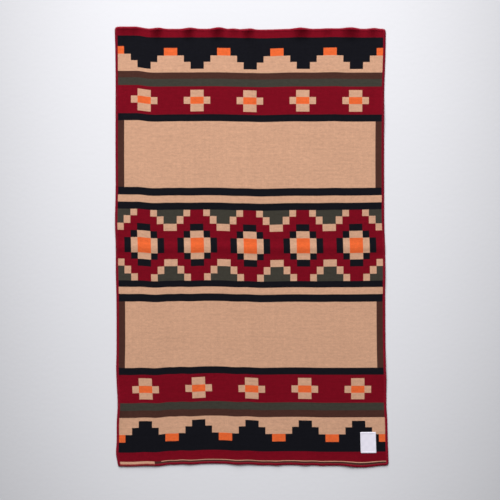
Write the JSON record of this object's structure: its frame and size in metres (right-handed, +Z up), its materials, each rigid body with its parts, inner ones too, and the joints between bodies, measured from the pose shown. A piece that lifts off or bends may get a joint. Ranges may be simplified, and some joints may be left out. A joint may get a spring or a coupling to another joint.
{
  "type": "knitted throw blanket",
  "caption": "Rectangular knitted throw blanket lying flat and face up, with striped and stepped-diamond bands, solid hem bands, an overcast edge and a blank sewn-on label.",
  "frame": {"origin": "middle of the rectangle that the blanket covers, on the surface it lies on", "axes": "+X from the left side to the right side, +Y from the lower hem to the upper hem, +Z up off the surface, out of the face"},
  "size_m": [1.12, 1.802, 0.0174],
  "materials": {
    "tan_knit": "matte cotton jacquard knit in tan with near-black, red, brown, olive and orange",
    "red_yarn": "matte red overcast yarn",
    "white_tape": "smooth white woven tape"
  },
  "bodies": {
    "root": {"blanket": "tan_knit", "edging_left": "red_yarn", "edging_right": "red_yarn", "edging_top": "red_yarn", "edging_bottom": "red_yarn", "label": "white_tape"}
  },
  "joints": []
}
